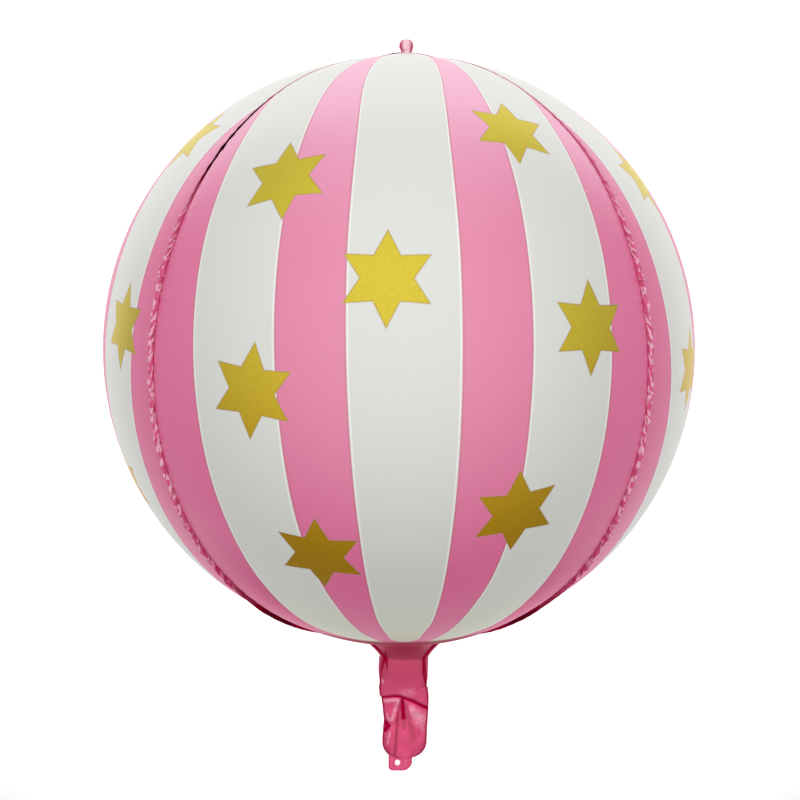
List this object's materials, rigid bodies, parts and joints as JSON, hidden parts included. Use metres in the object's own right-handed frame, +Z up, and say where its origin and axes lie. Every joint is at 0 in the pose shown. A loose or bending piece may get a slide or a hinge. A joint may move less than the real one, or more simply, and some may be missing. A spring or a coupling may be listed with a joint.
{
  "type": "round foil balloon",
  "caption": "Round foil balloon with striped, star-printed panels, a small knob and a flat filling neck with a ribbon tab.",
  "frame": {"origin": "middle of the small flat spot that the balloon lies on", "axes": "+Y along the balloon's axis towards the knob, -Y towards the filling neck, +Z up out of the front panel, +X to the right seen from above with the knob away"},
  "size_m": [0.3998, 0.5266, 0.3969],
  "materials": {
    "printed_foil": "satin pearl print on metallised film: pink and white stripes with gold stars"
  },
  "bodies": {
    "root": {"front_panel": "printed_foil", "right_panel": "printed_foil", "back_panel": "printed_foil", "left_panel": "printed_foil"}
  },
  "joints": []
}
